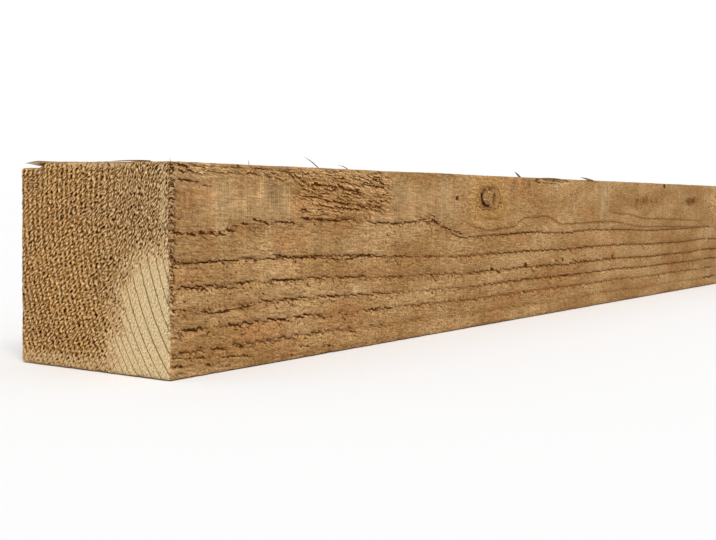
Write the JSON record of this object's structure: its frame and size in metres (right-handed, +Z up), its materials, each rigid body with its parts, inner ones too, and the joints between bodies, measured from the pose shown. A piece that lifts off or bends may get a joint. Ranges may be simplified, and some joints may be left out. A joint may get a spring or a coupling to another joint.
{
  "type": "rough-sawn wooden beam",
  "caption": "Square rough-sawn softwood beam with blunted long edges and square cross-cut ends, for posts, rails and framing.",
  "frame": {"origin": "middle of the underside", "axes": "+X along the length, away from the end seen in the picture, +Z up, -Y out of the long face seen in the picture"},
  "size_m": [2.4, 0.1, 0.1],
  "materials": {
    "sawn_wood": "rough-sawn softwood, brown pressure treatment, matt"
  },
  "bodies": {
    "root": {"beam": "sawn_wood"}
  },
  "joints": []
}
